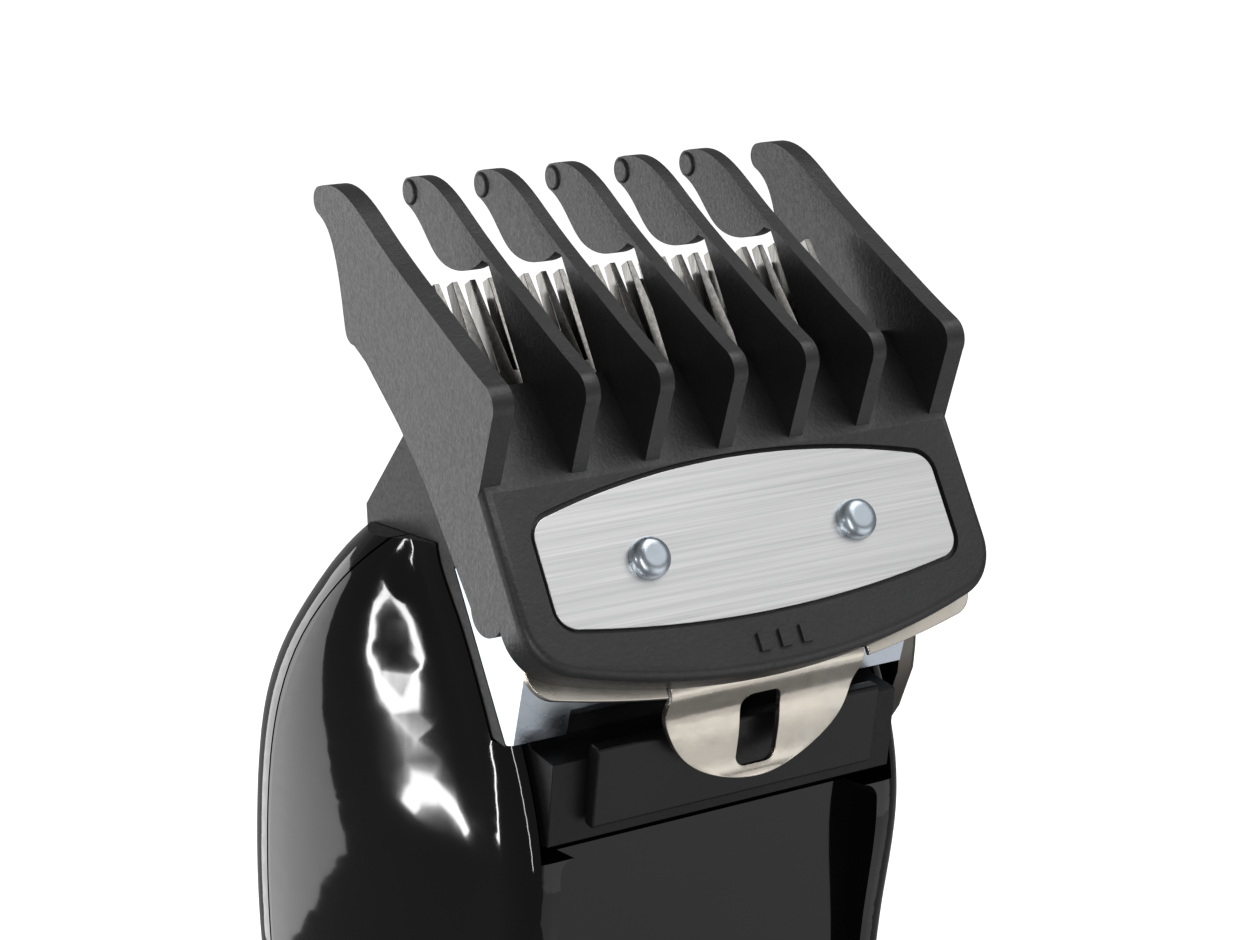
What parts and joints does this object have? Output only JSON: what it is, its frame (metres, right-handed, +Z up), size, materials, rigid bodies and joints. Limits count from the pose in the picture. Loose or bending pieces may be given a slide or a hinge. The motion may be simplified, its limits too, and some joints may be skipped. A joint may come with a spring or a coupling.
{
  "type": "hair clipper with guide comb",
  "caption": "Corded hair clipper with a swinging-arm drive, taper lever, side switch and a lift-off toothed guide comb with a sprung metal clip.",
  "frame": {"origin": "centre of the cord opening in the flat base", "axes": "+Z up along the body to the blades, -Y the side laid on the skin, +X towards the taper lever"},
  "size_m": [0.0609, 0.0608, 0.1686],
  "materials": {
    "housing_black": "high gloss",
    "screw_steel": "plain steel",
    "neck_black": "matte",
    "guard_black": "satin",
    "zinc_plate": "bright zinc plate",
    "blade_steel": "ground",
    "cutter_steel": "ground",
    "lamination": "laminated",
    "bobbin_plastic": "matte",
    "copper_wire": "enamelled",
    "spring_steel": "blued",
    "die_cast": "as cast",
    "switch_case": "matte",
    "terminal_plastic": "matte",
    "wire_sleeve": "matte",
    "gland_rubber": "matte",
    "fork_plastic": "matte",
    "slide_steel": "pressed",
    "lever_metal": "satin",
    "power_brass": "turned",
    "slider_black": "matte",
    "comb_black": "fine grained",
    "label_metal": "brushed",
    "clip_nickel": "satin nickel plate",
    "rivet_zinc": "bright zinc plate"
  },
  "bodies": {
    "clipper": {"front_housing": "housing_black", "back_housing": "housing_black", "housing_screws": "screw_steel", "neck_frame": "neck_black", "neck_screws": "screw_steel", "blade_guard_plate": "guard_black", "blade_holder": "zinc_plate", "fixed_blade": "blade_steel", "blade_screws": "screw_steel", "coil_core": "lamination", "coil_bobbin": "bobbin_plastic", "coil_winding": "copper_wire", "frame_screws": "screw_steel", "arm_leaf_spring": "spring_steel", "leaf_clamp": "die_cast", "tuning_springs": "spring_steel", "switch_body": "switch_case", "terminal_block": "terminal_plastic", "lead_wires": "wire_sleeve", "cord_gland": "gland_rubber"},
    "arm": {"armature_arm": "die_cast", "armature_plates": "lamination", "drive_fork": "fork_plastic", "fork_screw": "screw_steel"},
    "carriage": {"taper_slide": "slide_steel", "tension_spring": "spring_steel"},
    "cutter": {"cutter_blade": "cutter_steel"},
    "lever": {"taper_lever": "lever_metal", "lever_screw": "screw_steel"},
    "power_screw": {"power_screw": "power_brass"},
    "switch": {"switch_slider": "slider_black"},
    "comb": {"comb_body": "comb_black", "comb_label": "label_metal", "comb_clip_plate": "clip_nickel", "comb_rivets": "rivet_zinc"},
    "clip": {"comb_clip_tab": "clip_nickel"}
  },
  "joints": [
    {"name": "arm_swing", "type": "hinge", "parent": "clipper", "child": "arm", "pos_m": [0.0105, 0.005, 0.033], "axis": [0, 1, 0], "range_deg": [-0.5, 0.5], "stiffness_Nm_per_rad": 4},
    {"name": "taper_lever_turn", "type": "hinge", "parent": "clipper", "child": "lever", "pos_m": [0.0287, -0.008, 0.128], "axis": [1, 0, 0], "range_deg": [0, 45]},
    {"name": "taper_shift", "type": "slide", "parent": "clipper", "child": "carriage", "axis": [0, -0.454, -0.891], "range_m": [0, 0.00154]},
    {"name": "cutter_slide", "type": "slide", "parent": "carriage", "child": "cutter", "axis": [1, 0, 0], "range_m": [-0.0011, 0.0011]},
    {"name": "power_screw_turn", "type": "hinge", "parent": "clipper", "child": "power_screw", "pos_m": [0.0225, 0.004, 0.1145], "axis": [1, 0, 0], "range_deg": [-180, 180]},
    {"name": "switch_slide", "type": "slide", "parent": "clipper", "child": "switch", "axis": [0, 0, 1], "range_m": [0, 0.004]},
    {"name": "comb_lift", "type": "slide", "parent": "clipper", "child": "comb", "axis": [0, -0.6082, 0.7938], "range_m": [0, 0.025]},
    {"name": "clip_flex", "type": "hinge", "parent": "comb", "child": "clip", "pos_m": [0, -0.02986, 0.12733], "axis": [1, 0, 0], "range_deg": [-8, 0], "stiffness_Nm_per_rad": 0.5}
  ],
  "couplings": [
    {"joint": "cutter_slide", "follows": "arm_swing", "m_per_rad": 0.1149},
    {"joint": "taper_shift", "follows": "taper_lever_turn", "m_per_rad": 0.0019489}
  ]
}
